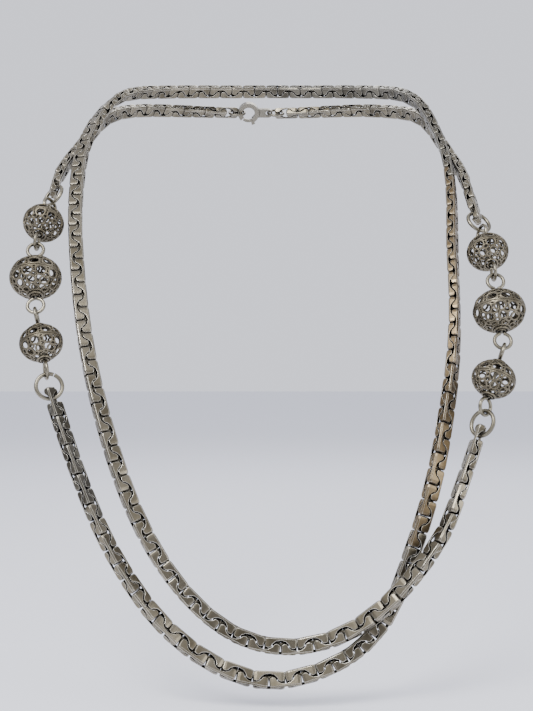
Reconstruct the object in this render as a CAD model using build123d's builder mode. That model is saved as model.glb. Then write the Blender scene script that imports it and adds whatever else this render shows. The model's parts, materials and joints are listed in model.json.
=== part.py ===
"""Doubled chain necklace: one long chain and one short chain joined by two stations of filigree beads.

Frame, in millimetres: +X to the wearer's left as seen from the front on the right, +Y towards the
back of the neck, +Z up.  The origin is the middle of the neck, level with the sides of the neck.
"""
from build123d import *
from math import atan2, cos, radians, sin
import os

# ---- driving dimensions ------------------------------------------------------------------------
# chain: links turned to and fro, pressed to a flat bar
chain_width = 5.0            # across the broad faces
chain_thick = 3.35           # across the narrow faces
link_pitch = 5.1             # from one link to the next
link_length = 9.4            # over one link
ridge_flat = 0.45            # worn flat along each corner of the chain
broad_gap = 0.95             # between the plates of neighbouring links, on the broad faces
narrow_gap = 0.75            # and on the narrow faces
broad_swing = 1.05           # how far the groove swings across a broad face
narrow_swing = 0.72          # and across a narrow face
waist_flat = 0.9             # half the straight of a plate's waist
lobe_flat = 1.5              # straight at each end of a plate
broad_corner = 1.1           # corner cut of a link seen on its broad face
narrow_corner = 0.7          # and on its narrow face

# beads, pins and rings
small_bead = 14.4            # diameter of the upper and lower beads of a station
large_bead = 17.6            # diameter of the middle bead
small_height = 12.4          # along the pin
large_height = 14.4
shell_wall = 0.9
seam_proud = 0.3             # the solder seam round the bead's middle
seam_width = 0.5             # of it on each half
collar_radius = 1.7
collar_height = 0.45
pin_wire = 1.2
eye_outer = 6.7              # outside diameter of a pin's eye
ring_wire = 1.35
ring_outer = 9.8
bore_clearance = 0.06        # pin in bead, all round
eye_gap = 0.6                # bead's pole to the eye
hook_play = 0.14             # slack where two wires hook together

# how the necklace lies: down the shoulders, then flatter on the chest
chest_drop = 190.0           # height over which the slope runs out

# clasp
claw_outer = 4.6             # the hook's radii
claw_inner = 2.7
claw_thick = 2.6
slot_thick = 1.4             # slot for the trigger
trigger_thick = 0.8
trigger_band = 0.6           # half width of the trigger's arm
trigger_root = 0.9
thumb_proud = 1.1
rivet_radius = 0.4
coil_wire = 0.22
tail_radius = 1.9
tail_thick = 1.7
tail_eye = 1.15
tag_outer = 7.8              # the two small rings beside the clasp
tag_wire = 1.1
claw_play = 0.45             # of the thick hook inside its round ring
nose_turn = 137.0            # angles round the hook, from its tail
tip_turn = 12.0              # left open between the trigger and the nose
cheek_turn = 60.0
slot_turn = 18.0
pivot_turn = 40.0
thumb_turn = 58.0

period = 2 * link_pitch
clasp_roll = 46.0            # the short chain turns on edge to take the clasp's rings
eye_reach = (eye_outer - pin_wire) / 2       # eye centre to the middle of its wire
ring_reach = (ring_outer - ring_wire) / 2
core_place = 3.45            # the solid middle of each lobe, from the link's middle
core_size = (1.3, 0.5, 0.36)
hole_place = 1.4                             # where a ring's wire passes a link, from its middle

os.makedirs("parts", exist_ok=True)


# ---- where things lie ---------------------------------------------------------------------------
def chest_y(z):
    """Depth of the chest surface at a height below the neck."""
    drop = min(max(-z, 0.0), chest_drop)
    return -(drop - drop * drop / (2 * chest_drop))


def chest_normal(z):
    """Outward direction of the chest surface at a height."""
    drop = min(max(-z, 0.0), chest_drop)
    return Vector(0, -1, 1 - drop / chest_drop).normalized()


def on_chest(x, z, roll=0.0, lift=0.0):
    """A route point on the chest, with the chain's roll there and its lift off the surface."""
    return Vector(x, chest_y(z), z) + chest_normal(z) * lift, roll


def round_neck(x, y, z, roll=0.0):
    """A route point round the neck."""
    return Vector(x, y, z), roll


def outward(point):
    """Away from the body: off the chest low down, off the neck high up and behind."""
    share = min(max(-point.Z / 60.0, 0.0), 1.0)
    from_neck = (point - Vector(0, 5, -20)).normalized()
    return from_neck * (1 - share) + chest_normal(point.Z) * share


long_route_middle = [
    on_chest(64.0, -132.5, 78),
    on_chest(60.5, -141.0, 73, 0.5),
    on_chest(56.5, -150.0, 65, 1.6),
    on_chest(51.0, -158.5, 55, 2.6),
    on_chest(43.5, -167.5, 43, 3.2),
    on_chest(33.5, -177.0, 31, 2.0),
    on_chest(21.5, -184.2, 22, 0.5),
    on_chest(7.5, -187.2, 18),
    on_chest(-6.8, -184.6, 15),
    on_chest(-19.5, -176.5, 12),
    on_chest(-28.5, -167.0, 12),
    on_chest(-35.5, -157.0, 17),
    on_chest(-41.0, -147.0, 22),
    on_chest(-45.5, -137.0, 25),
    on_chest(-51.5, -121.0, 24),
    on_chest(-57.5, -102.0, 14),
    on_chest(-62.5, -81.5, 8),
    on_chest(-66.5, -60.0, 8),
    on_chest(-68.5, -46.0, 16),
    on_chest(-69.5, -33.0, 28),
    on_chest(-69.5, -21.0, 38),
    on_chest(-67.3, -9.5, 40),
    round_neck(-62.5, 1.5, 1.5, 34),
    round_neck(-56.5, 14.5, 9.0, 22),
    round_neck(-46.5, 29.0, 13.5, 10),
    round_neck(-31.5, 41.0, 16.5),
    round_neck(-16.0, 47.5, 18.0),
    round_neck(0.0, 49.5, 18.5),
    round_neck(16.0, 47.5, 18.0),
    round_neck(31.0, 41.0, 16.5),
    round_neck(45.5, 29.0, 13.5),
    round_neck(55.0, 14.5, 9.0),
    round_neck(61.0, 1.5, 1.5, -2),
    on_chest(65.0, -9.5, -8),
    on_chest(67.2, -21.0, -22),
    on_chest(67.5, -33.0, -40),
    on_chest(66.5, -46.0, -55),
    on_chest(65.0, -60.0, -66),
    on_chest(63.7, -79.0, -74),
    on_chest(61.5, -98.0, -62),
    on_chest(58.0, -116.0, -40),
    on_chest(54.0, -133.0, -29),
    on_chest(49.5, -148.0, -24, -1.0),
    on_chest(46.0, -158.0, -18, -2.2),
    on_chest(42.5, -167.5, -10, -2.8),
    on_chest(37.5, -178.0, 0, -2.0),
    on_chest(28.0, -188.5, 14, -0.6),
    on_chest(15.0, -195.2, 24),
    on_chest(0.8, -197.6, 30),
    on_chest(-13.4, -193.9, 34),
    on_chest(-26.5, -185.5, 38),
    on_chest(-36.0, -176.0, 44),
    on_chest(-43.0, -166.5, 50),
    on_chest(-49.5, -156.0, 56),
    on_chest(-55.5, -144.0, 60),
    on_chest(-61.0, -131.5, 60),
    on_chest(-65.5, -120.5, 52),
]
left_short_rest = [
    on_chest(-76.4, -29.5, -42, -0.6),
    on_chest(-74.8, -22.5, -36, -2.6),
    on_chest(-72.0, -14.5, -27, -4.4),
    on_chest(-68.5, -6.0, -15, -5.4),
    round_neck(-63.5, 12.0, -0.5, -5),
    round_neck(-55.5, 26.5, 5.0, 7),
    round_neck(-43.5, 39.5, 8.0, 20),
    round_neck(-30.0, 48.3, 9.5, 33),
    round_neck(-17.7, 52.4, 10.0, clasp_roll),
]
right_short_rest = [
    on_chest(74.0, -40.0, 44),
    on_chest(73.1, -30.5, 43, -1.6),
    on_chest(71.6, -22.5, 37, -3.8),
    on_chest(69.2, -14.5, 28, -5.3),
    on_chest(66.4, -6.0, 15, -6.0),
    round_neck(61.8, 12.0, -0.8, 5),
    round_neck(54.2, 26.5, 4.5, -6),
    round_neck(42.5, 39.5, 8.0, -17),
    round_neck(26.5, 49.2, 9.7, -32),
    round_neck(8.8, 53.5, 10.0, -clasp_roll),
]
left_top_ring = on_chest(-77.3, -39.5, -42, 0.5)
right_top_ring = on_chest(75.4, -50.0, 42, 0.5)
left_bead_aims = [
    on_chest(-78.6, -51.5, 0, 2.5),
    on_chest(-78.2, -74.0, 0, 3.5),
    on_chest(-73.4, -97.0, 0, 2.5),
]
right_bead_aims = [
    on_chest(76.4, -62.0, 0, 2.5),
    on_chest(77.6, -84.5, 0, 3.5),
    on_chest(73.0, -107.5, 0, 2.5),
]
left_low_aim = on_chest(-69.5, -111.5, 0, 0.5)
right_low_aim = on_chest(68.6, -123.5, 0, 0.5)


# ---- the chain link -----------------------------------------------------------------------------
def groove_line(swing, gap):
    """Edge of a link's plate along the chain, across one face: in at the waist, out at the ends."""
    reach = period / 2
    edge = [(-reach, -swing), (lobe_flat - reach, -swing), (-waist_flat, swing),
            (waist_flat, swing), (reach - lobe_flat, -swing), (reach, -swing)]
    return [(x, y + gap / 2) for x, y in edge]


def flank(face, swing, gap, corners):
    """The part of a link that lies under one face of the chain, between two of its diagonals."""
    edge = groove_line(swing, gap)
    half_span = chain_width
    with BuildPart() as piece:
        with BuildSketch(face):
            with BuildLine():
                Polyline(*edge, (edge[-1][0], half_span), (edge[0][0], half_span), close=True)
            make_face()
        extrude(amount=chain_width)
        with BuildSketch(Plane.YZ):
            Polygon(*corners, align=None)
        extrude(amount=period, both=True, mode=Mode.INTERSECT)
    return piece.part


half_w = chain_width / 2
half_t = chain_thick / 2
ridge_y = half_w - ridge_flat
ridge_z = half_t - ridge_flat
broad_face = Plane(origin=(0, 0, 0), x_dir=(1, 0, 0), z_dir=(0, 0, 1))
narrow_face = Plane(origin=(0, 0, 0), x_dir=(-1, 0, 0), z_dir=(0, 1, 0))
broad_sector = [(0, 0), (ridge_y + ridge_flat / 2, ridge_z + ridge_flat / 2), (ridge_y, half_t),
                (-half_w, half_t)]
narrow_sector = [(0, 0), (half_w, -half_t), (half_w, ridge_z),
                 (ridge_y + ridge_flat / 2, ridge_z + ridge_flat / 2)]
broad_flank = flank(broad_face, broad_swing, broad_gap, broad_sector)
narrow_flank = flank(narrow_face, narrow_swing, narrow_gap, narrow_sector)

with BuildPart() as link:
    add(broad_flank)
    add(narrow_flank)
    add(broad_flank.rotate(Axis.X, 180))
    add(narrow_flank.rotate(Axis.X, 180))
    with Locations((-core_place, 0, 0), (core_place, 0, 0)):
        Box(*core_size)
    with BuildSketch(Plane.XY) as broad_outline:
        Rectangle(link_length, chain_width)
        chamfer(broad_outline.vertices(), broad_corner)
    extrude(amount=chain_thick, both=True, mode=Mode.INTERSECT)
    with BuildSketch(Plane.XZ) as narrow_outline:
        Rectangle(link_length, chain_thick)
        chamfer(narrow_outline.vertices(), narrow_corner)
    extrude(amount=chain_width, both=True, mode=Mode.INTERSECT)

with BuildPart() as turned_link:
    add(link.part.mirror(Plane.XZ))


# ---- laying the chain ---------------------------------------------------------------------------
def route_frame(points, path, place):
    """Plane of a link at a distance along a route: X along the chain, Z out of its broad face."""
    total = path.length
    spot = path.position_at(place / total)
    along = path.tangent_at(place / total)
    marks = [0.0]
    for (a, _), (b, _) in zip(points, points[1:]):
        marks.append(marks[-1] + (b - a).length)
    reach = place / total * marks[-1]
    step = max(i for i, mark in enumerate(marks[:-1]) if mark <= reach)
    share = (reach - marks[step]) / (marks[step + 1] - marks[step])
    roll = points[step][1] * (1 - share) + points[step + 1][1] * share
    out = outward(spot)
    out = (out - along * out.dot(along)).normalized()
    side = along.cross(out)
    normal = out * cos(radians(roll)) + side * sin(radians(roll))
    return Plane(origin=spot, x_dir=along, z_dir=normal)


def lay_links(points, first_kind, start_gap, end_gap):
    """Places of all links along a route, as (plane, kind), with the pitch eased to fit its length.

    The first and last links are of one kind, so that both ends can take their rings.
    """
    with BuildLine() as line:
        Spline(*[spot for spot, _ in points])
    path = line.edges()[0]
    free = path.length - start_gap - end_gap
    count = 2 * round(free / (2 * link_pitch))
    pitch = free / count
    planes = [route_frame(points, path, start_gap + i * pitch) for i in range(count + 1)]
    return [(plane, (first_kind + i) % 2) for i, plane in enumerate(planes)], pitch


def cross_diagonal(plane, kind):
    """Direction of the ring wire that passes a link's hole."""
    turn = 1 if kind else -1
    return (plane.y_dir * (turn * chain_width) + plane.z_dir * chain_thick).normalized()


# ---- stations of beads --------------------------------------------------------------------------
def pin_half(height):
    """From a bead's middle to the hooking point of its pin's eye."""
    return height / 2 + eye_gap + eye_outer / 2 + eye_reach - (pin_wire + hook_play) / 2


ring_hook = ring_reach - ((ring_wire + pin_wire) / 2 + hook_play) / 2
ring_to_link = ring_reach + hole_place


def hang_station(top_ring, aims, low_aim):
    """Ring middles, bead middles, pin directions and hooking points of one station."""
    towards = [spot for spot, _ in aims]
    start = top_ring[0]
    hooks = [start + (towards[0] - start).normalized() * ring_hook]
    middles = []
    directions = []
    for aim, height in zip(towards, (small_height, large_height, small_height)):
        direction = (aim - hooks[-1]).normalized()
        middles.append(hooks[-1] + direction * pin_half(height))
        directions.append(direction)
        hooks.append(hooks[-1] + direction * (2 * pin_half(height)))
    direction = (low_aim[0] - hooks[-1]).normalized()
    low_ring = hooks[-1] + direction * ring_hook
    return {"top": start, "low": low_ring, "beads": middles, "pins": directions, "hooks": hooks}


left_station = hang_station(left_top_ring, left_bead_aims, left_low_aim)
right_station = hang_station(right_top_ring, right_bead_aims, right_low_aim)

long_points = [(right_station["low"], 78.0)] + long_route_middle + [(left_station["low"], 46.0)]
left_points = [(left_station["top"], left_top_ring[1])] + left_short_rest
right_points = [(right_station["top"], right_top_ring[1])] + right_short_rest
long_links, long_pitch = lay_links(long_points, 0, ring_to_link, ring_to_link)
left_links, left_pitch = lay_links(left_points, 1, ring_to_link, 0.0)
right_links, right_pitch = lay_links(right_points, 0, ring_to_link, 0.0)


# ---- levels: the necklace flexes along lines that pass through both stations ----------------------
def chest_spot(x, z):
    """A point of the chain's own line on the chest."""
    return Vector(x, chest_y(z), z)


flex_lines = [
    ("drop", chest_spot(-72.0, -31.5), chest_spot(70.0, -31.5)),
    ("upper_bead", left_station["hooks"][0], right_station["hooks"][0]),
    ("middle_bead", left_station["hooks"][1], right_station["hooks"][1]),
    ("lower_bead", left_station["hooks"][2], right_station["hooks"][2]),
    ("front", left_station["hooks"][3], right_station["hooks"][3]),
    ("loop", chest_spot(-58.0, -128.0), chest_spot(62.0, -137.0)),
    ("bottom", chest_spot(-51.0, -148.0), chest_spot(55.0, -153.5)),
]
lift_line = (chest_spot(-24.0, -172.0), chest_spot(36.0, -175.5))


def levels_above(spot):
    """How many flex lines a point hangs below."""
    count = 0
    for _, left, right in flex_lines:
        share = (spot.X - left.X) / (right.X - left.X)
        height = left.Z + (right.Z - left.Z) * share
        if spot.Y < 5 and spot.Z < height:
            count += 1
    return count


def below_lift(spot):
    """Whether a point is part of the front loop that lifts by itself."""
    left, right = lift_line
    share = (spot.X - left.X) / (right.X - left.X)
    return spot.Z < left.Z + (right.Z - left.Z) * share


link_groups = {}


def sort_links(links, names):
    """Put each link in the node of its stretch and level."""
    for index, (plane, kind) in enumerate(links):
        spot = plane.origin
        level = levels_above(spot)
        name = names(index, spot, level)
        link_groups.setdefault(name, []).append((plane, kind))


nape_index = max(range(len(long_links)), key=lambda i: long_links[i][0].origin.Y)


def long_name(index, spot, level):
    """Node of a link of the long chain."""
    before_nape = index < nape_index
    if level == 0:
        return "nape_long_chain_left" if before_nape else "nape_long_chain_right"
    if before_nape and below_lift(spot):
        return "front_loop_chain"
    if not before_nape and level == len(flex_lines):
        return "back_loop_chain"
    if before_nape:
        side = "left_inner" if spot.X < 0 else "right_front"
    else:
        side = "right_inner" if spot.X > 0 else "left_outer"
    return f"{side}_chain_{level}"


sort_links(long_links, long_name)
for side, links in (("left", left_links), ("right", right_links)):
    short_names = (f"nape_short_chain_{side}", f"{side}_hanger_chain")
    sort_links(links, lambda index, spot, level: short_names[min(level, 1)])


def save(part, name):
    """Label a finished piece and write it."""
    part.label = name
    export_step(part, f"parts/{name}.step")


for group_name, members in link_groups.items():
    with BuildPart() as stretch:
        for shape, wanted in ((link.part, 0), (turned_link.part, 1)):
            spots = [plane.location for plane, kind in members if kind == wanted]
            if spots:
                with Locations(*spots):
                    add(shape)
    save(stretch.part, group_name)


# ---- beads, pins and rings ----------------------------------------------------------------------
def bead_half(radius, height, rows):
    """One pierced half shell, from the seam up to the collar round the pin; rows are (latitude,
    number of holes, hole radius)."""
    high = height / 2
    span = 4 * radius
    dome = (radius * radius + high * high) / (2 * high)
    sunk = dome - high
    with BuildPart() as half:
        with BuildSketch(Plane.XZ):
            with Locations((0, -sunk)):
                Circle(dome)
                Circle(dome - shell_wall, mode=Mode.SUBTRACT)
            with Locations((radius - shell_wall / 2, 0)):
                Rectangle(shell_wall + 2 * seam_proud, 2 * seam_width)
            with Locations((0, high + collar_height)):
                Rectangle(2 * collar_radius, collar_height + shell_wall, align=(Align.CENTER, Align.MAX))
            with Locations((pin_wire / 2 + bore_clearance, 0)):
                Rectangle(span, span, align=(Align.MIN, Align.MIN), mode=Mode.INTERSECT)
        revolve(axis=Axis.Z)
        for latitude, number, hole_radius in rows:
            for i in range(number):
                turn = radians(360 * i / number)
                tilt = radians(latitude)
                way = Vector(cos(tilt) * cos(turn), cos(tilt) * sin(turn), sin(tilt))
                with BuildSketch(Plane(origin=(0, 0, -sunk), z_dir=way)):
                    Circle(hole_radius)
                extrude(amount=span, mode=Mode.SUBTRACT)
    return half.part


def eye_pin(height, near_turn, far_turn):
    """A pin through a bead along Z with an eye at each end; each eye's plane is turned about Z."""
    eye_middle = height / 2 + eye_gap + eye_outer / 2
    with BuildPart() as pin:
        Cylinder(pin_wire / 2, height + 2 * eye_gap + pin_wire)
        for place, turn in ((-eye_middle, near_turn), (eye_middle, far_turn)):
            with Locations(Plane(origin=(0, 0, place), z_dir=(-sin(turn), cos(turn), 0)).location):
                Torus(eye_reach, pin_wire / 2)
    return pin.part


def put(shape, plane, name):
    """Set a piece on its plane and write it."""
    with BuildPart() as placed:
        with Locations(plane.location):
            add(shape)
    save(placed.part, name)


small_half = bead_half(small_bead / 2, small_height, [(28, 9, 1.5), (54, 6, 1.25)])
large_half = bead_half(large_bead / 2, large_height, [(27, 10, 1.75), (50, 8, 1.35), (68, 5, 0.9)])

with BuildPart() as plain_ring:
    Torus(ring_reach, ring_wire / 2)

ring_ends = [("left_upper_ring", left_station["top"], left_links[0]),
             ("right_upper_ring", right_station["top"], right_links[0]),
             ("left_lower_ring", left_station["low"], long_links[-1]),
             ("right_lower_ring", right_station["low"], long_links[0])]
ring_axes = {}
for ring_name, middle, (end_plane, end_kind) in ring_ends:
    along = (middle - end_plane.origin).normalized()
    wire_way = cross_diagonal(end_plane, end_kind)
    ring_axis = along.cross(wire_way).normalized()
    ring_axes[ring_name] = ring_axis
    put(plain_ring.part, Plane(origin=middle, z_dir=ring_axis), ring_name)

for side, station in (("left", left_station), ("right", right_station)):
    for index, level_name in enumerate(("upper", "middle", "lower")):
        middle = station["beads"][index]
        down = station["pins"][index]
        front = chest_normal(middle.Z)
        front = (front - down * front.dot(down)).normalized()
        across = down.cross(front)
        upper_plane = Plane(origin=middle, x_dir=across, z_dir=-down)
        lower_plane = Plane(origin=middle, x_dir=across, z_dir=down)
        eye_ways = {"upper": (ring_axes[f"{side}_upper_ring"], front), "middle": (across, across),
                    "lower": (front, ring_axes[f"{side}_lower_ring"])}[level_name]
        turns = [atan2(way.dot(lower_plane.y_dir), way.dot(lower_plane.x_dir)) for way in eye_ways]
        large = level_name == "middle"
        shell = large_half if large else small_half
        pin = eye_pin(large_height if large else small_height, *turns)
        put(shell, upper_plane, f"{side}_{level_name}_bead_top")
        put(shell, lower_plane, f"{side}_{level_name}_bead_base")
        put(pin, lower_plane, f"{side}_{level_name}_eye_pin")


# ---- clasp: a sprung claw that hooks a ring at the nape -----------------------------------------
left_end = left_links[-1][0].origin
right_end = right_links[-1][0].origin
clasp_way = (right_end - left_end).normalized()
clasp_out = (outward((left_end + right_end) * 0.5))
clasp_out = (clasp_out - clasp_way * clasp_out.dot(clasp_way)).normalized()
small_reach = (tag_outer - tag_wire) / 2
claw_bar = (claw_outer + claw_inner) / 2
tag_middle = left_end + clasp_way * (small_reach + hole_place)
hook_reach = small_reach - (tag_wire + claw_outer - claw_inner) / 2 - claw_play
claw_middle = tag_middle + clasp_way * (hook_reach + claw_bar)
swivel_middle = right_end - clasp_way * (small_reach + hole_place)
tail_eye_place = (swivel_middle - claw_middle).length - small_reach
claw_plane = Plane(origin=claw_middle, x_dir=clasp_way, z_dir=clasp_out)
pivot = (claw_bar * cos(radians(pivot_turn)), claw_bar * sin(radians(pivot_turn)))


def band(inner, outer, start, end):
    """Sketch face of a ring's band between two angles."""
    reach = 3 * outer
    with BuildSketch() as face:
        Circle(outer)
        Circle(inner, mode=Mode.SUBTRACT)
        steps = 6
        turns = [radians(start + (end - start) * i / steps) for i in range(steps + 1)]
        Polygon((0, 0), *[(reach * cos(t), reach * sin(t)) for t in turns], align=None, mode=Mode.INTERSECT)
    return face.sketch


with BuildPart() as claw:
    with BuildSketch():
        add(band(claw_inner, claw_outer, nose_turn, 360 + cheek_turn))
    extrude(amount=claw_thick / 2, both=True)
    with BuildSketch():
        with Locations(((claw_bar + tail_eye_place) / 2, 0)):
            SlotOverall(tail_eye_place - claw_bar + 2 * tail_radius, 2 * tail_radius)
    extrude(amount=tail_thick / 2, both=True)
    with BuildSketch():
        with Locations((tail_eye_place, 0)):
            Circle(tail_eye)
        Circle(claw_inner)
    extrude(amount=claw_thick, both=True, mode=Mode.SUBTRACT)
    with BuildSketch():
        add(band(claw_inner - 1, claw_outer + 1, slot_turn, cheek_turn + 5))
    extrude(amount=slot_thick / 2, both=True, mode=Mode.SUBTRACT)
    with BuildSketch():
        with Locations(pivot):
            Circle(rivet_radius)
    extrude(amount=claw_thick, both=True, mode=Mode.SUBTRACT)

with BuildPart() as trigger:
    with BuildSketch():
        add(band(claw_bar - trigger_band, claw_bar + trigger_band, pivot_turn, nose_turn - tip_turn))
        with Locations(pivot):
            Circle(trigger_root)
        add(band(claw_bar, claw_outer + thumb_proud, thumb_turn, thumb_turn + 16))
        with Locations(pivot):
            Circle(rivet_radius + bore_clearance, mode=Mode.SUBTRACT)
    extrude(amount=trigger_thick / 2, both=True)

with BuildPart() as rivet:
    with BuildSketch(Plane.XY.offset(-claw_thick / 2)):
        with Locations(pivot):
            Circle(rivet_radius)
    extrude(amount=claw_thick)

coil_height = (slot_thick + trigger_thick) / 4
with BuildPart() as clasp_spring:
    with Locations((pivot[0], pivot[1], coil_height)):
        Torus(rivet_radius + coil_wire, coil_wire / 2)

with BuildPart() as small_ring:
    Torus(small_reach, tag_wire / 2)

put(claw.part, claw_plane, "clasp_claw")
put(trigger.part, claw_plane, "clasp_trigger")
put(rivet.part, claw_plane, "clasp_rivet")
put(clasp_spring.part, claw_plane, "clasp_spring")
ring_normal = clasp_way.cross(clasp_out)
put(small_ring.part, Plane(origin=tag_middle, z_dir=ring_normal), "clasp_tag_ring")
put(small_ring.part, Plane(origin=swivel_middle, z_dir=ring_normal), "clasp_swivel_ring")


# ---- sizes and joint places ---------------------------------------------------------------------
def say(name, spot):
    """Print a named place or direction."""
    print(name, [round(value, 4) for value in spot])


print("links", len(long_links), len(left_links), len(right_links))
print("pitches", [round(value, 3) for value in (long_pitch, left_pitch, right_pitch)])
for line_name, left, right in flex_lines:
    say(f"flex {line_name} at", (left + right) * 0.5)
    say(f"flex {line_name} way", (left - right).normalized())
say("lift at", (lift_line[0] + lift_line[1]) * 0.5)
say("lift way", (lift_line[0] - lift_line[1]).normalized())
for side, station in (("left", left_station), ("right", right_station)):
    for level_name, middle, down in zip(("upper", "middle", "lower"), station["beads"], station["pins"]):
        say(f"spin {side}_{level_name} at", middle)
        say(f"spin {side}_{level_name} way", down)
for ring_name, middle, _ in ring_ends:
    say(f"spin {ring_name} at", middle)
    say(f"spin {ring_name} way", ring_axes[ring_name])
say("trigger at", claw_plane.from_local_coords(Vector(pivot[0], pivot[1], 0)))
say("trigger way", clasp_out)
say("tail eye at", claw_middle + clasp_way * tail_eye_place)
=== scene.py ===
"""The looks of a long doubled chain necklace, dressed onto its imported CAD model.

The necklace is shown as it lies when worn: a chain of interlocked waisted plates that goes round
twice in front, a row of three openwork beads at each side, and a claw clasp at the nape.
"""
from __future__ import annotations

import json
import logging
import math
from dataclasses import dataclass, replace
from enum import Enum

import bmesh
import bpy
import numpy as np
from mathutils import Matrix, Vector

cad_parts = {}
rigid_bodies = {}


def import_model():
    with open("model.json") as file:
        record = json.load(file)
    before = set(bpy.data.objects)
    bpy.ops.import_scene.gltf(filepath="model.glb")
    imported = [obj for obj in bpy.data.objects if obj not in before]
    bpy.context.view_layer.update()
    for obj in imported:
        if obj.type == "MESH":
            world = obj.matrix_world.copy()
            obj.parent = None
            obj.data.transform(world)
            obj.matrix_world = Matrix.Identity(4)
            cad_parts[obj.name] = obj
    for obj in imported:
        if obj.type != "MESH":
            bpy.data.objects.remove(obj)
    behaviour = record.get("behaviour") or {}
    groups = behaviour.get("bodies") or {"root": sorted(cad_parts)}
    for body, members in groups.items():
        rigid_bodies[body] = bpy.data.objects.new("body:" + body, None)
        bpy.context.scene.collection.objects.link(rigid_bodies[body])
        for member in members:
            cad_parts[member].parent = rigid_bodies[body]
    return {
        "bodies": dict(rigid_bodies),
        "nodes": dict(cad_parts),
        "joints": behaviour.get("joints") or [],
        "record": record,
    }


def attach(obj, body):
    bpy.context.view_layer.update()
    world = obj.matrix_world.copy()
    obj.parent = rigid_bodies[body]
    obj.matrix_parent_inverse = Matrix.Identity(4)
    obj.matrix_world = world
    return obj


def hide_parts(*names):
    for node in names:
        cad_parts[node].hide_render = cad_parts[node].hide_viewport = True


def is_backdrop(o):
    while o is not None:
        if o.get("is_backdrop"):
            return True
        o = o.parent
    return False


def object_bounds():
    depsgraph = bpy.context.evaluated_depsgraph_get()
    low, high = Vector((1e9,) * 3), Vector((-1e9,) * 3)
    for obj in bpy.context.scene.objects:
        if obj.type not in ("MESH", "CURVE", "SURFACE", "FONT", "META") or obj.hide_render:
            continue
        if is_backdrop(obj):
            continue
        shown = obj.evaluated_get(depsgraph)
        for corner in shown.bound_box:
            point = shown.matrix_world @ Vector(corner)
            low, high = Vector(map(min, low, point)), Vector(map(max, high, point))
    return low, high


log = logging.getLogger("necklace")
MM = 0.001
TURN_STEPS = 360                # tried over half a turn, to find how a link lies
Colour = tuple[float, float, float]


# ---- finishes -----------------------------------------------------------------------------------
@dataclass(frozen=True)
class AgedPlateWithPaintedLight:
    """One antique plated finish: its own bright and tarnish colours, with painted shade in its recesses and
    a painted highlight along its edges.
    """

    title: str
    bright: Colour
    tarnish: Colour
    # painted shade: the near-black colour that ambient occlusion lays into the recesses
    painted_shade: Colour
    tarnish_share: float
    gloss_roughness: float
    recess_reach: float
    edge_round: float
    # strength of the painted highlight along the edges
    painted_edge_highlight: float


class Finish(Enum):
    """The finishes of the necklace's own pieces."""

    # Columns: title, bright, tarnish, painted shade colour for recesses, tarnish share, gloss roughness,
    # shade reach, edge radius, painted edge highlight strength.
    SILVERED = AgedPlateWithPaintedLight("silvered_chain", (0.225, 0.198, 0.143), (0.06, 0.05, 0.032), (0.003, 0.003, 0.002),
                         0.8, 0.24, 1.6 * MM, 0.3 * MM, 0.85)
    BROWNED = AgedPlateWithPaintedLight("browned_chain", (0.205, 0.155, 0.088), (0.065, 0.042, 0.02), (0.004, 0.003, 0.002),
                        0.8, 0.27, 1.6 * MM, 0.3 * MM, 0.6)
    # A darker copy of the silvered finish: painted shade for the stretches at the outer left and the neck.
    SHADED = AgedPlateWithPaintedLight("shaded_chain", (0.15, 0.138, 0.108), (0.035, 0.03, 0.022), (0.003, 0.003, 0.002),
                       0.8, 0.24, 1.6 * MM, 0.3 * MM, 0.75)
    OPENWORK = AgedPlateWithPaintedLight("openwork_beads", (0.22, 0.192, 0.137), (0.06, 0.05, 0.032), (0.005, 0.004, 0.003),
                         0.7, 0.32, 1.8 * MM, 0.06 * MM, 0.3)
    WIRE = AgedPlateWithPaintedLight("plated_wire", (0.27, 0.245, 0.185), (0.10, 0.088, 0.062), (0.008, 0.007, 0.006),
                     0.5, 0.26, 0.8 * MM, 0.08 * MM, 0.3)
    CLASP = AgedPlateWithPaintedLight("clasp_plate", (0.25, 0.23, 0.185), (0.11, 0.10, 0.075), (0.008, 0.007, 0.006),
                      0.4, 0.28, 0.8 * MM, 0.08 * MM, 0.4)


@dataclass(frozen=True)
class WearAndPaintedLight:
    """How the plating has worn, in tarnish clouds and pits, and how shade is painted into its recesses and
    highlights painted onto its edges.
    """

    cloud_scale: float = 130.0
    cloud_detail: float = 3.0
    cloud_start: float = 0.38
    cloud_full: float = 0.68
    # Ambient occlusion that lays painted shade into the recesses and roughens them.
    shade_ao_samples: int = 8
    full_shade_below: float = 0.5
    no_shade_above: float = 0.93
    tarnish_dulling: float = 0.18
    recess_roughness: float = 0.75
    edge_samples: int = 6
    edge_start: float = 0.995
    edge_full: float = 0.93
    # colour of the painted highlight along the edges
    painted_highlight_colour: Colour = (0.82, 0.78, 0.68)
    pit_scale: float = 1400.0
    pit_detail: float = 2.0
    pit_strength: float = 0.25
    pit_depth: float = 0.08 * MM


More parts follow.
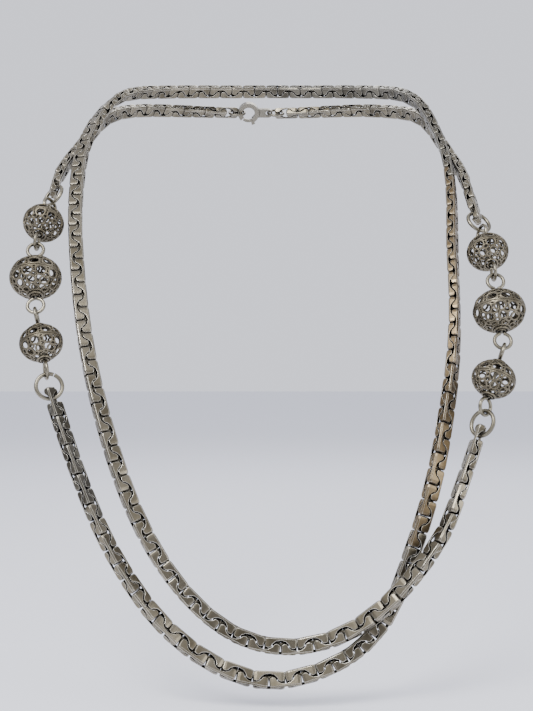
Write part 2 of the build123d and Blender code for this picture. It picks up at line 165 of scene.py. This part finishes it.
class FinishShop:
    """Makes each finish's material once, all from one node group of tarnish, pits, painted shade and painted
    edge highlights.
    """

    def __init__(self) -> None:
        """Build the shared group."""
        self.wear_and_light = self._wear_and_light_group(WearAndPaintedLight())
        self.made: dict[Finish, bpy.types.Material] = {}

    @staticmethod
    def _wear_and_light_group(wear_and_light: WearAndPaintedLight) -> bpy.types.ShaderNodeTree:
        """Make the node group that paints shade into recesses and highlights onto edges, and breaks up
        colour, gloss and surface.

        Args:
            wear_and_light: How the plating has worn, and how its shade and highlights are painted.

        Returns:
            The group, with colour sockets in for the plating's bright and tarnish colours and for the
            painted shade in recesses, value sockets in for tarnish share, gloss, reach, edge radius and
            painted edge highlight strength, and Colour, Roughness and Normal out.
        """
        group = bpy.data.node_groups.new("plate_wear_and_painted_light", "ShaderNodeTree")
        for name in ("Bright", "Tarnish", "Painted Shade"):
            group.interface.new_socket(name, in_out="INPUT", socket_type="NodeSocketColor")
        for name in ("Tarnish Share", "Gloss", "Reach", "Edge", "Painted Highlight"):
            group.interface.new_socket(name, in_out="INPUT", socket_type="NodeSocketFloat")
        group.interface.new_socket("Colour", in_out="OUTPUT", socket_type="NodeSocketColor")
        group.interface.new_socket("Roughness", in_out="OUTPUT", socket_type="NodeSocketFloat")
        group.interface.new_socket("Normal", in_out="OUTPUT", socket_type="NodeSocketVector")
        nodes, links = group.nodes, group.links
        source = nodes.new("NodeGroupInput")
        sink = nodes.new("NodeGroupOutput")
        place = nodes.new("ShaderNodeTexCoord")

        cloud = nodes.new("ShaderNodeTexNoise")
        cloud.inputs["Scale"].default_value = wear_and_light.cloud_scale
        cloud.inputs["Detail"].default_value = wear_and_light.cloud_detail
        links.new(place.outputs["Object"], cloud.inputs["Vector"])
        patch = nodes.new("ShaderNodeMapRange")
        patch.inputs["From Min"].default_value = wear_and_light.cloud_start
        patch.inputs["From Max"].default_value = wear_and_light.cloud_full
        links.new(cloud.outputs["Fac"], patch.inputs["Value"])
        patchy = nodes.new("ShaderNodeMath")
        patchy.operation = "MULTIPLY"
        links.new(patch.outputs["Result"], patchy.inputs[0])
        links.new(source.outputs["Tarnish Share"], patchy.inputs[1])
        worn = nodes.new("ShaderNodeMix")
        worn.data_type = "RGBA"
        links.new(patchy.outputs["Value"], worn.inputs["Factor"])
        links.new(source.outputs["Bright"], worn.inputs["A"])
        links.new(source.outputs["Tarnish"], worn.inputs["B"])

        # Painted shade: ambient occlusion darkens the recesses towards the painted shade colour.
        painted_shade_ao = nodes.new("ShaderNodeAmbientOcclusion")
        painted_shade_ao.samples = wear_and_light.shade_ao_samples
        links.new(source.outputs["Reach"], painted_shade_ao.inputs["Distance"])
        unshaded_share = nodes.new("ShaderNodeMapRange")
        unshaded_share.inputs["From Min"].default_value = wear_and_light.full_shade_below
        unshaded_share.inputs["From Max"].default_value = wear_and_light.no_shade_above
        links.new(painted_shade_ao.outputs["AO"], unshaded_share.inputs["Value"])
        plate = nodes.new("ShaderNodeMix")
        plate.data_type = "RGBA"
        links.new(unshaded_share.outputs["Result"], plate.inputs["Factor"])
        links.new(source.outputs["Painted Shade"], plate.inputs["A"])
        links.new(worn.outputs["Result"], plate.inputs["B"])

        dull = nodes.new("ShaderNodeMath")
        dull.operation = "MULTIPLY_ADD"
        dull.inputs[1].default_value = wear_and_light.tarnish_dulling
        links.new(patch.outputs["Result"], dull.inputs[0])
        links.new(source.outputs["Gloss"], dull.inputs[2])
        gloss = nodes.new("ShaderNodeMix")
        gloss.data_type = "FLOAT"
        gloss.inputs["A"].default_value = wear_and_light.recess_roughness
        links.new(unshaded_share.outputs["Result"], gloss.inputs["Factor"])
        links.new(dull.outputs["Value"], gloss.inputs["B"])
        links.new(gloss.outputs["Result"], sink.inputs["Roughness"])

        # Bevel-rounded normals; where they turn from the true normal, edges get a painted highlight, except
        # in the painted shade.
        rounded = nodes.new("ShaderNodeBevel")
        rounded.samples = wear_and_light.edge_samples
        links.new(source.outputs["Edge"], rounded.inputs["Radius"])
        surface = nodes.new("ShaderNodeNewGeometry")
        agree = nodes.new("ShaderNodeVectorMath")
        agree.operation = "DOT_PRODUCT"
        links.new(rounded.outputs["Normal"], agree.inputs[0])
        links.new(surface.outputs["Normal"], agree.inputs[1])
        edge_highlight_mask = nodes.new("ShaderNodeMapRange")
        edge_highlight_mask.inputs["From Min"].default_value = wear_and_light.edge_start
        edge_highlight_mask.inputs["From Max"].default_value = wear_and_light.edge_full
        links.new(agree.outputs["Value"], edge_highlight_mask.inputs["Value"])
        unshaded_edge_highlight = nodes.new("ShaderNodeMath")
        unshaded_edge_highlight.operation = "MULTIPLY"
        links.new(edge_highlight_mask.outputs["Result"], unshaded_edge_highlight.inputs[0])
        links.new(unshaded_share.outputs["Result"], unshaded_edge_highlight.inputs[1])
        painted_highlight_amount = nodes.new("ShaderNodeMath")
        painted_highlight_amount.operation = "MULTIPLY"
        links.new(unshaded_edge_highlight.outputs["Value"], painted_highlight_amount.inputs[0])
        links.new(source.outputs["Painted Highlight"], painted_highlight_amount.inputs[1])
        with_painted_highlight = nodes.new("ShaderNodeMix")
        with_painted_highlight.data_type = "RGBA"
        with_painted_highlight.inputs["B"].default_value = (*wear_and_light.painted_highlight_colour, 1.0)
        links.new(painted_highlight_amount.outputs["Value"], with_painted_highlight.inputs["Factor"])
        links.new(plate.outputs["Result"], with_painted_highlight.inputs["A"])
        links.new(with_painted_highlight.outputs["Result"], sink.inputs["Colour"])
        grain = nodes.new("ShaderNodeTexNoise")
        grain.inputs["Scale"].default_value = wear_and_light.pit_scale
        grain.inputs["Detail"].default_value = wear_and_light.pit_detail
        links.new(place.outputs["Object"], grain.inputs["Vector"])
        pits = nodes.new("ShaderNodeBump")
        pits.inputs["Strength"].default_value = wear_and_light.pit_strength
        pits.inputs["Distance"].default_value = wear_and_light.pit_depth
        links.new(grain.outputs["Fac"], pits.inputs["Height"])
        links.new(rounded.outputs["Normal"], pits.inputs["Normal"])
        links.new(pits.outputs["Normal"], sink.inputs["Normal"])
        return group

    def material(self, finish: Finish) -> bpy.types.Material:
        """The material of a finish.

        Args:
            finish: Which of the necklace's finishes.

        Returns:
            The material, made on first use.
        """
        if finish in self.made:
            return self.made[finish]
        plate = finish.value
        made = bpy.data.materials.new(plate.title)
        made.use_nodes = True
        nodes, links = made.node_tree.nodes, made.node_tree.links
        shader = nodes["Principled BSDF"]
        shader.inputs["Metallic"].default_value = 1.0
        wear_and_light = nodes.new("ShaderNodeGroup")
        wear_and_light.node_tree = self.wear_and_light
        # The plating's own bright and tarnish colours, then the painted shade colour for recesses.
        wear_and_light.inputs["Bright"].default_value = (*plate.bright, 1.0)
        wear_and_light.inputs["Tarnish"].default_value = (*plate.tarnish, 1.0)
        wear_and_light.inputs["Painted Shade"].default_value = (*plate.painted_shade, 1.0)
        wear_and_light.inputs["Tarnish Share"].default_value = plate.tarnish_share
        wear_and_light.inputs["Gloss"].default_value = plate.gloss_roughness
        wear_and_light.inputs["Reach"].default_value = plate.recess_reach
        wear_and_light.inputs["Edge"].default_value = plate.edge_round
        # strength of the painted highlight along the edges
        wear_and_light.inputs["Painted Highlight"].default_value = plate.painted_edge_highlight
        links.new(wear_and_light.outputs["Colour"], shader.inputs["Base Color"])
        links.new(wear_and_light.outputs["Roughness"], shader.inputs["Roughness"])
        links.new(wear_and_light.outputs["Normal"], shader.inputs["Normal"])
        self.made[finish] = made
        return made


# ---- shared bench work ----------------------------------------------------------------------------
def upright_on(middle: Vector, axis: Vector, across: Vector | None = None) -> Matrix:
    """A placing matrix with its Z along an axis.

    Args:
        middle: Where the local origin goes.
        axis: Where local Z points.
        across: Where local X points as nearly as it can.

    Returns:
        The matrix, unscaled.
    """
    z = axis.normalized()
    guide = across if across is not None else z.orthogonal()
    x = (guide - z * guide.dot(z)).normalized()
    y = z.cross(x)
    return Matrix.Translation(middle) @ Matrix((x, y, z)).transposed().to_4x4()


def bent_wire(reach: float, wire: float, turn: float, sides: int, steps: int) -> bpy.types.Mesh:
    """A round wire bent round the Z axis.

    Args:
        reach: From the axis to the middle of the wire.
        wire: The wire's own radius.
        turn: The angle that it goes round, a full turn being closed.
        sides: Sides of the wire's section.
        steps: Steps of the bend.

    Returns:
        The mesh, with capped ends where the bend is open.
    """
    full = turn >= 2 * math.pi - 1e-6
    bm = bmesh.new()
    bmesh.ops.create_circle(bm, cap_ends=False, segments=sides, radius=wire)
    bmesh.ops.rotate(bm, verts=bm.verts, cent=(0, 0, 0), matrix=Matrix.Rotation(math.pi / 2, 3, "X"))
    bmesh.ops.translate(bm, verts=bm.verts, vec=(reach, 0, 0))
    bmesh.ops.spin(bm, geom=bm.verts[:] + bm.edges[:], cent=(0, 0, 0), axis=(0, 0, 1), angle=turn,
                   steps=steps, use_merge=full, use_duplicate=False)
    if full:
        bmesh.ops.remove_doubles(bm, verts=bm.verts, dist=1e-7)
    else:
        rims = [edge for edge in bm.edges if edge.is_boundary]
        bmesh.ops.holes_fill(bm, edges=rims, sides=sides)
    bmesh.ops.recalc_face_normals(bm, faces=bm.faces)
    return as_mesh(bm, "bent_wire")


def as_mesh(bm: bmesh.types.BMesh, name: str) -> bpy.types.Mesh:
    """Turn finished bench work into a mesh and free it.

    Args:
        bm: The finished shape.
        name: The mesh's name.

    Returns:
        The mesh.
    """
    mesh = bpy.data.meshes.new(name)
    bm.to_mesh(mesh)
    bm.free()
    return mesh


def add_copy(bm: bmesh.types.BMesh, shape: bpy.types.Mesh, place: Matrix) -> None:
    """Add a placed copy of a shape.

    Args:
        bm: What it is added to.
        shape: The shape in its own place.
        place: Where it goes.
    """
    placed = shape.copy()
    placed.transform(place)
    bm.from_mesh(placed)
    bpy.data.meshes.remove(placed)


def finish_piece(bm: bmesh.types.BMesh, name: str, nodes: list[str], body: str,
                 material: bpy.types.Material, smooth: bool = True) -> bpy.types.Object:
    """Make a piece from bench work, dress it and hang it on its body.

    Args:
        bm: The finished shape, in place.
        name: The piece's name.
        nodes: The CAD nodes it stands for.
        body: The CAD body it moves with.
        material: Its finish.
        smooth: Whether its faces shade as one surface.

    Returns:
        The piece.
    """
    for face in bm.faces:
        face.smooth = smooth
    piece = bpy.data.objects.new(name, as_mesh(bm, name))
    piece.data.materials.append(material)
    bpy.context.scene.collection.objects.link(piece)
    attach(piece, body)
    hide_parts(*nodes)
    log.info("%s: %d faces on %s", name, len(piece.data.polygons), body)
    return piece


@dataclass
class Frame:
    """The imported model: its nodes, bodies and joints."""

    loaded: dict

    def joint(self, name: str) -> tuple[Vector, Vector]:
        """Place and axis of a joint."""
        found = next(joint for joint in self.loaded["joints"] if joint["name"] == name)
        return Vector(found["pos_m"]), Vector(found["axis"])

    def body_of(self, node: str) -> str:
        """The body that holds a node."""
        groups = self.loaded["record"]["behaviour"]["bodies"]
        return next(body for body, nodes in groups.items() if node in nodes)

    def points(self, node: str) -> np.ndarray:
        """A node's vertices as rows."""
        return np.array([vert.co for vert in self.loaded["nodes"][node].data.vertices], float)

    def islands(self, node: str) -> list[np.ndarray]:
        """A node's separate solids, each as the rows of its vertices.

        Args:
            node: The CAD node.

        Returns:
            One array for each solid.
        """
        bm = bmesh.new()
        bm.from_mesh(self.loaded["nodes"][node].data)
        bmesh.ops.remove_doubles(bm, verts=bm.verts, dist=1e-6)
        unseen = set(bm.verts)
        found = []
        while unseen:
            front = [unseen.pop()]
            rows = []
            while front:
                vert = front.pop()
                rows.append(tuple(vert.co))
                for edge in vert.link_edges:
                    other = edge.other_vert(vert)
                    if other in unseen:
                        unseen.remove(other)
                        front.append(other)
            found.append(np.array(rows))
        bm.free()
        return found


# ---- chain --------------------------------------------------------------------------------------
@dataclass(frozen=True)
class Station:
    """A section of a ridge bar: its place, the inner edges of both plates and its pull-in."""

    along: float
    inner_y: float
    inner_z: float
    pull: float


@dataclass
class PlateLink:
    """One link: two ridge bars, joined at their lobes, that show as waisted plates on all faces."""

    half_width: float = 2.5 * MM
    half_thick: float = 1.675 * MM
    ridge_flat: float = 0.42 * MM
    half_length: float = 4.94 * MM
    lobe_place: float = 3.85 * MM
    shoulder_place: float = 2.55 * MM
    waist_place: float = 1.5 * MM
    broad_waist: float = 1.62 * MM
    narrow_waist: float = 1.12 * MM
    broad_lobe: float = 0.72 * MM
    narrow_lobe: float = 0.44 * MM
    broad_shoulder: float = 0.46 * MM
    narrow_shoulder: float = 0.32 * MM
    groove: float = 0.34 * MM
    end_drop: float = 0.34 * MM
    end_run: float = 0.3 * MM
    end_ease: float = 0.12 * MM
    end_share: float = 0.62
    lobe_run: float = 0.75 * MM
    lobe_share: float = 0.68
    narrow_share: float = 0.6
    waist_share: float = 0.8
    core_place: float = 4.18 * MM
    core_size: tuple[float, float, float] = (1.74 * MM, 2.5 * MM, 1.76 * MM)

    def _stations(self) -> list[Station]:
        """Sections of a ridge bar.

        Returns:
            The sections from one end of the link to the other.
        """
        lobe_y, lobe_z = self.broad_lobe, self.narrow_lobe
        flank_z = -self.narrow_share * lobe_z
        waist_y, waist_z = self.waist_share * self.broad_waist, self.waist_share * self.narrow_waist
        side = [
            Station(self.half_length, self.groove, self.groove, self.end_drop),
            Station(self.half_length - self.end_run, -self.end_share * lobe_y, flank_z, self.end_ease),
            Station(self.lobe_place, -lobe_y, -lobe_z, 0.0),
            Station(self.lobe_place - self.lobe_run, -self.lobe_share * lobe_y, flank_z, 0.0),
            Station(self.shoulder_place, self.broad_shoulder, self.narrow_shoulder, 0.0),
            Station(self.waist_place, waist_y, waist_z, 0.0),
        ]
        far = [replace(station, along=-station.along) for station in side]
        return far + [Station(0.0, self.broad_waist, self.narrow_waist, 0.0)] + side[::-1]

    def _section(self, station: Station) -> list[Vector]:
        """Corners of a ridge bar's section.

        Args:
            station: Where the section is cut.

        Returns:
            The five corners in order.
        """
        side = self.half_width - station.pull
        top = self.half_thick - station.pull
        outline = [(station.inner_y, top), (side - self.ridge_flat, top), (side, top - self.ridge_flat),
                   (side, station.inner_z), (station.inner_y, station.inner_z)]
        return [Vector((station.along, y, z)) for y, z in outline]

    def build(self) -> bpy.types.Mesh:
        """Extrude one ridge bar through its sections, and turn a copy round for the other.

        Returns:
            The link with X along the chain and its broad faces across Z.
        """
        bm = bmesh.new()
        first, *later = self._stations()
        face = bm.faces.new([bm.verts.new(corner) for corner in self._section(first)])
        for station in later:
            grown = bmesh.ops.extrude_face_region(bm, geom=[face])
            moved = next(item for item in grown["geom"] if isinstance(item, bmesh.types.BMFace))
            if station is not later[0]:
                bmesh.ops.delete(bm, geom=[face], context="FACES_ONLY")
            for vert, corner in zip(moved.verts, self._section(station)):
                vert.co = corner
            face = moved
        bmesh.ops.recalc_face_normals(bm, faces=bm.faces)
        twin = bmesh.ops.duplicate(bm, geom=bm.verts[:] + bm.edges[:] + bm.faces[:])
        turned = [item for item in twin["geom"] if isinstance(item, bmesh.types.BMVert)]
        bmesh.ops.rotate(bm, verts=turned, cent=(0, 0, 0), matrix=Matrix.Rotation(math.pi, 3, "X"))
        for end in (-1, 1):
            size = Matrix.Diagonal((*self.core_size, 1.0))
            place = Matrix.Translation((end * self.core_place, 0, 0))
            bmesh.ops.create_cube(bm, size=1.0, matrix=place @ size)
        return as_mesh(bm, "plate_link")


@dataclass
class ChainStretch:
    """One node of chain, rebuilt link by link where its CAD links lie."""

    frame: Frame
    node: str
    finish: Finish

    @staticmethod
    def link_place(points: np.ndarray) -> Matrix:
        """Work out where a CAD link lies from its corners.

        Args:
            points: The link's vertices as rows.

        Returns:
            Its matrix: X along the chain, Y across the broad face, Z out of it.
        """
        centre = points.mean(0)
        rows = points - centre
        _, vectors = np.linalg.eigh(rows.T @ rows)
        along = vectors[:, 2]
        guide = np.cross(along, vectors[:, 0])
        best = None
        for step in range(TURN_STEPS):
            turn = math.radians(180 * step / TURN_STEPS)
            across = math.cos(turn) * vectors[:, 0] + math.sin(turn) * guide
            out = np.cross(along, across)
            wide, thick = np.ptp(rows @ across), np.ptp(rows @ out)
            score = wide * thick if wide > thick else math.inf
            if best is None or score < best[0]:
                best = (score, across, out)
        _, across, out = best
        if ((rows @ across) * (rows @ out)).sum() < 0:
            across = -across
        along = np.cross(across, out)
        turned = Matrix((Vector(along), Vector(across), Vector(out))).transposed().to_4x4()
        return Matrix.Translation(Vector(centre)) @ turned

    def build(self, link: bpy.types.Mesh, shop: FinishShop) -> None:
        """Lay the links and dress them.

        Args:
            link: The pattern link.
            shop: Where its finish comes from.
        """
        bm = bmesh.new()
        for points in self.frame.islands(self.node):
            add_copy(bm, link, self.link_place(points))
        finish_piece(bm, f"{self.node}_links", [self.node], self.frame.body_of(self.node),
                     shop.material(self.finish), smooth=False)


@dataclass
class Chains:
    """All stretches of chain and their tones."""

    frame: Frame

    def finish_of(self, node: str) -> Finish:
        """The tone of a stretch: browned at the inner right, and painted shade at the outer left and the
        neck, as a darker copy of the silvered finish.

        Args:
            node: The stretch's CAD node.

        Returns:
            Its finish.
        """
        if node.startswith("right_inner"):
            return Finish.BROWNED
        if node.startswith("left_outer") or node.startswith("nape_long_chain_right"):
            return Finish.SHADED
        return Finish.SILVERED

    def build(self, shop: FinishShop) -> None:
        """Build every stretch.

        Args:
            shop: Where the finishes come from.
        """
        link = PlateLink().build()
        for node in sorted(self.frame.loaded["nodes"]):
            if "_chain" in node:
                ChainStretch(self.frame, node, self.finish_of(node)).build(link, shop)


# ---- openwork beads -----------------------------------------------------------------------------
@dataclass(frozen=True)
class RingRow:
    """A row of wire rings round a bead: latitude, count, half-angle and half-step offset."""

    latitude: float
    count: int
    spread: float
    offset: float


@dataclass(frozen=True)
class BeadPattern:
    """The size of a bead and the rows of rings on each of its halves."""

    radius: float
    height: float
    wire: float
    rows: tuple[RingRow, ...]


class BeadSize(Enum):
    """The two sizes of bead: small at both ends of a row, large in its middle."""

    SMALL = BeadPattern(7.2 * MM, 6.2 * MM, 0.37 * MM, (
        RingRow(17, 10, 14.0, 0.0), RingRow(7, 10, 5.0, 0.5), RingRow(31, 10, 7.0, 0.5),
        RingRow(45, 8, 11.5, 0.0), RingRow(57, 8, 5.5, 0.5), RingRow(68, 6, 8.0, 0.0)))
    LARGE = BeadPattern(8.8 * MM, 7.2 * MM, 0.42 * MM, (
        RingRow(16, 11, 13.0, 0.0), RingRow(6, 11, 4.5, 0.5), RingRow(28, 11, 7.0, 0.5),
        RingRow(41, 9, 11.0, 0.0), RingRow(53, 9, 5.5, 0.5), RingRow(63, 7, 8.0, 0.0),
        RingRow(73, 7, 3.5, 0.5)))


@dataclass
class OpenworkBead:
    """A hollow bead of two halves, each worked in rings of wire."""

    frame: Frame
    name: str
    pattern: BeadPattern
    ring_sides: int = 6
    ring_steps: int = 16
    seam_sides: int = 8
    seam_steps: int = 48
    seam_rise: float = 0.8
    collar_steps: int = 24
    collar_share: float = 1.15
    collars: tuple[tuple[float, float], ...] = ((1.15 * MM, 0.12 * MM), (2.1 * MM, -0.16 * MM))

    def _wrapped(self, ring: bpy.types.Mesh, way: Vector, across: Vector) -> bpy.types.Mesh:
        """Bend a flat wire ring onto the bead's surface.

        Args:
            ring: The flat ring about Z.
            way: Direction from the bead's middle to the ring's.
            across: Direction of the ring's local X.

        Returns:
            The bent ring in the bead's place.
        """
        radius = self.pattern.radius
        over = way.cross(across)
        bm = bmesh.new()
        bm.from_mesh(ring)
        for vert in bm.verts:
            flat = math.hypot(vert.co.x, vert.co.y)
            aim = (across * vert.co.x + over * vert.co.y) / flat
            angle = flat / radius
            lift = radius + vert.co.z - self.pattern.wire
            spot = (way * math.cos(angle) + aim * math.sin(angle)) * lift
            vert.co = Vector((spot.x, spot.y, spot.z * self.pattern.height / radius))
        return as_mesh(bm, "bent_ring")

    def _half(self) -> bpy.types.Mesh:
        """Work one half of the bead from its seam up to its collars.

        Returns:
            The half about +Z.
        """
        bm = bmesh.new()
        radius, height, wire = self.pattern.radius, self.pattern.height, self.pattern.wire
        for row in self.pattern.rows:
            ring = bent_wire(radius * math.radians(row.spread), wire, 2 * math.pi, self.ring_sides,
                             self.ring_steps)
            tilt = math.radians(row.latitude)
            for i in range(row.count):
                turn = 2 * math.pi * (i + row.offset) / row.count
                flat = Vector((math.cos(turn), math.sin(turn), 0))
                way = flat * math.cos(tilt) + Vector((0, 0, math.sin(tilt)))
                across = Vector((-math.sin(turn), math.cos(turn), 0))
                bent = self._wrapped(ring, way, across)
                bm.from_mesh(bent)
                bpy.data.meshes.remove(bent)
        seam_level = self.seam_rise * wire
        seam_reach = (radius - wire) * math.sqrt(1 - (seam_level / height) ** 2)
        seam = bent_wire(seam_reach, wire, 2 * math.pi, self.seam_sides, self.seam_steps)
        add_copy(bm, seam, Matrix.Translation((0, 0, seam_level)))
        for reach, rise in self.collars:
            collar = bent_wire(reach, wire * self.collar_share, 2 * math.pi, self.seam_sides,
                               self.collar_steps)
            add_copy(bm, collar, Matrix.Translation((0, 0, height + rise)))
        return as_mesh(bm, "bead_half")

    def build(self, shop: FinishShop) -> None:
        """Build both halves about the bead's own pin.

        Args:
            shop: Where the finish comes from.
        """
        half = self._half()
        middle, axis = self.frame.joint(f"{self.name}_bead_spin")
        for side, way in (("top", -axis), ("base", axis)):
            node = f"{self.name}_bead_{side}"
            bm = bmesh.new()
            add_copy(bm, half, upright_on(middle, way))
            finish_piece(bm, f"{node}_openwork", [node], self.frame.body_of(node),
                         shop.material(Finish.OPENWORK))


@dataclass
class EyePin:
    """The pin through a bead, its ends bent into eyes."""

    frame: Frame
    name: str
    height: float
    wire: float = 0.6 * MM
    eye_reach: float = 2.75 * MM
    gap: float = 0.6 * MM
    eye_turn: float = math.radians(338)
    sides: int = 12
    eye_steps: int = 40

    def build(self, shop: FinishShop) -> None:
        """Build the straight wire and both eyes, each eye in the plane of its CAD eye.

        Args:
            shop: Where the finish comes from.
        """
        node = f"{self.name}_eye_pin"
        middle, axis = self.frame.joint(f"{self.name}_bead_spin")
        points = self.frame.points(node)
        along = (points - np.array(middle)) @ np.array(axis)
        bm = bmesh.new()
        straight = 2 * (self.height + self.gap)
        bmesh.ops.create_cone(bm, cap_ends=True, segments=self.sides, radius1=self.wire,
                              radius2=self.wire, depth=straight, matrix=upright_on(middle, axis))
        eye = bent_wire(self.eye_reach, self.wire, self.eye_turn, self.sides, self.eye_steps)
        eye_middle = self.height + self.gap + self.eye_reach + self.wire
        for sign in (-1, 1):
            ring = points[sign * along > self.height + self.gap + self.wire]
            rows = ring - ring.mean(0)
            _, vectors = np.linalg.eigh(rows.T @ rows)
            place = upright_on(middle + axis * (sign * eye_middle), Vector(vectors[:, 0]), -axis * sign)
            slack = Matrix.Rotation((2 * math.pi - self.eye_turn) / 2, 4, "Z")
            add_copy(bm, eye, place @ slack)
        finish_piece(bm, f"{node}_wire", [node], self.frame.body_of(node),
                     shop.material(Finish.WIRE))


@dataclass
class JumpRing:
    """A round ring of wire with its butted ends just open."""

    frame: Frame
    name: str
    reach: float = 4.225 * MM
    wire: float = 0.675 * MM
    turn: float = math.radians(356)
    seam_turn: float = math.radians(25)
    sides: int = 14
    steps: int = 64

    def build(self, shop: FinishShop) -> None:
        """Build the ring where its CAD ring lies.

        Args:
            shop: Where the finish comes from.
        """
        middle, axis = self.frame.joint(f"{self.name}_turn")
        bm = bmesh.new()
        seam = Matrix.Rotation(self.seam_turn, 4, "Z")
        ring = bent_wire(self.reach, self.wire, self.turn, self.sides, self.steps)
        add_copy(bm, ring, upright_on(middle, axis, Vector((0, 0, 1))) @ seam)
        finish_piece(bm, f"{self.name}_wire", [self.name], self.frame.body_of(self.name),
                     shop.material(Finish.WIRE))


@dataclass
class Clasp:
    """The claw clasp and its two small rings at the nape, dressed as the CAD made them."""

    frame: Frame

    def build(self, shop: FinishShop) -> None:
        """Give the clasp's parts their finish.

        Args:
            shop: Where the finish comes from.
        """
        for node, piece in self.frame.loaded["nodes"].items():
            if not node.startswith("clasp"):
                continue
            piece.data.materials.clear()
            piece.data.materials.append(shop.material(Finish.CLASP))
            log.info("%s: dressed", node)


# ---- studio -------------------------------------------------------------------------------------
@dataclass(frozen=True)
class SoftLamp:
    """A soft square lamp: its place, side in metres and power in watts."""

    name: str
    place: tuple[float, float, float]
    size: float
    power: float


@dataclass
class Studio:
    """Pale floor, soft lights and the camera in front."""

    eye: tuple[float, float, float] = (0.0, -0.445, -0.097)
    lens: float = 57.17
    sensor_width: float = 36.0
    near: float = 0.01
    far: float = 20.0
    floor_drop: float = 6 * MM
    floor_half: float = 3.0
    floor_colour: Colour = (0.86, 0.87, 0.93)
    floor_roughness: float = 0.9
    light_way: tuple[float, float, float] = (0.0, 0.5, 0.85)
    dim_at: float = -0.7
    bright_at: float = 0.4
    dim_sky: Colour = (0.12, 0.12, 0.13)
    bright_sky: Colour = (0.88, 0.90, 1.0)
    sky_strength: float = 1.2
    lamp_aim: tuple[float, float, float] = (0.0, -0.04, -0.09)
    lamps: tuple[SoftLamp, ...] = (
        SoftLamp("key_lamp", (-0.22, -0.48, 0.42), 0.30, 5.0),
        SoftLamp("fill_lamp", (0.55, -0.40, 0.05), 0.40, 1.5),
        SoftLamp("back_lamp", (0.1, 0.55, 0.45), 0.40, 2.0),
    )

    def camera(self) -> None:
        """Stand the camera in front of the chest, level, looking towards the nape."""
        data = bpy.data.cameras.new("front_camera")
        data.lens = self.lens
        data.sensor_width = self.sensor_width
        data.clip_start = self.near
        data.clip_end = self.far
        camera = bpy.data.objects.new("front_camera", data)
        camera.location = self.eye
        camera.rotation_euler = (math.pi / 2, 0, 0)
        bpy.context.scene.collection.objects.link(camera)
        bpy.context.scene.camera = camera

    def floor(self, level: float) -> None:
        """Lay the pale floor below the necklace.

        Args:
            level: The necklace's lowest point.
        """
        bm = bmesh.new()
        bmesh.ops.create_grid(bm, x_segments=1, y_segments=1, size=self.floor_half,
                              matrix=Matrix.Translation((0, 0, level - self.floor_drop)))
        floor = bpy.data.objects.new("pale_floor", as_mesh(bm, "pale_floor"))
        paint = bpy.data.materials.new("pale_floor")
        paint.use_nodes = True
        shader = paint.node_tree.nodes["Principled BSDF"]
        shader.inputs["Base Color"].default_value = (*self.floor_colour, 1.0)
        shader.inputs["Roughness"].default_value = self.floor_roughness
        floor.data.materials.append(paint)
        bpy.context.scene.collection.objects.link(floor)
        floor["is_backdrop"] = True

    def hang(self, lamp: SoftLamp) -> None:
        """Hang one lamp so that it faces the necklace.

        Args:
            lamp: The lamp.
        """
        data = bpy.data.lights.new(lamp.name, "AREA")
        data.size = lamp.size
        data.energy = lamp.power
        hung = bpy.data.objects.new(lamp.name, data)
        hung.location = lamp.place
        hung.rotation_mode = "QUATERNION"
        hung.rotation_quaternion = (Vector(self.lamp_aim) - Vector(lamp.place)).to_track_quat("-Z", "Y")
        bpy.context.scene.collection.objects.link(hung)

    def sky(self) -> None:
        """A pale surround, bright overhead and behind, and dim low down in front."""
        world = bpy.data.worlds.new("soft_room")
        world.use_nodes = True
        nodes, links = world.node_tree.nodes, world.node_tree.links
        place = nodes.new("ShaderNodeTexCoord")
        upward = nodes.new("ShaderNodeVectorMath")
        upward.operation = "DOT_PRODUCT"
        upward.inputs[1].default_value = self.light_way
        links.new(place.outputs["Generated"], upward.inputs[0])
        height = nodes.new("ShaderNodeMapRange")
        height.inputs["From Min"].default_value = self.dim_at
        height.inputs["From Max"].default_value = self.bright_at
        links.new(upward.outputs["Value"], height.inputs["Value"])
        tone = nodes.new("ShaderNodeMix")
        tone.data_type = "RGBA"
        tone.inputs["A"].default_value = (*self.dim_sky, 1.0)
        tone.inputs["B"].default_value = (*self.bright_sky, 1.0)
        links.new(height.outputs["Result"], tone.inputs["Factor"])
        links.new(tone.outputs["Result"], nodes["Background"].inputs["Color"])
        nodes["Background"].inputs["Strength"].default_value = self.sky_strength
        bpy.context.scene.world = world

    def build(self, lowest: float) -> None:
        """Set up everything round the necklace.

        Args:
            lowest: The necklace's lowest point.
        """
        self.camera()
        self.floor(lowest)
        self.sky()
        for lamp in self.lamps:
            self.hang(lamp)


def main() -> None:
    """Build the necklace's looks in order, then the studio."""
    logging.basicConfig(level=logging.INFO, format="%(message)s")
    frame = Frame(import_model())
    cad_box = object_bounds()
    shop = FinishShop()
    Studio().build(cad_box[0].z)
    Chains(frame).build(shop)
    for side in ("left", "right"):
        for level in ("upper", "middle", "lower"):
            pattern = (BeadSize.LARGE if level == "middle" else BeadSize.SMALL).value
            OpenworkBead(frame, f"{side}_{level}", pattern).build(shop)
            EyePin(frame, f"{side}_{level}", pattern.height).build(shop)
        for level in ("upper", "lower"):
            JumpRing(frame, f"{side}_{level}_ring").build(shop)
    Clasp(frame).build(shop)


if __name__ == "__main__":
    main()
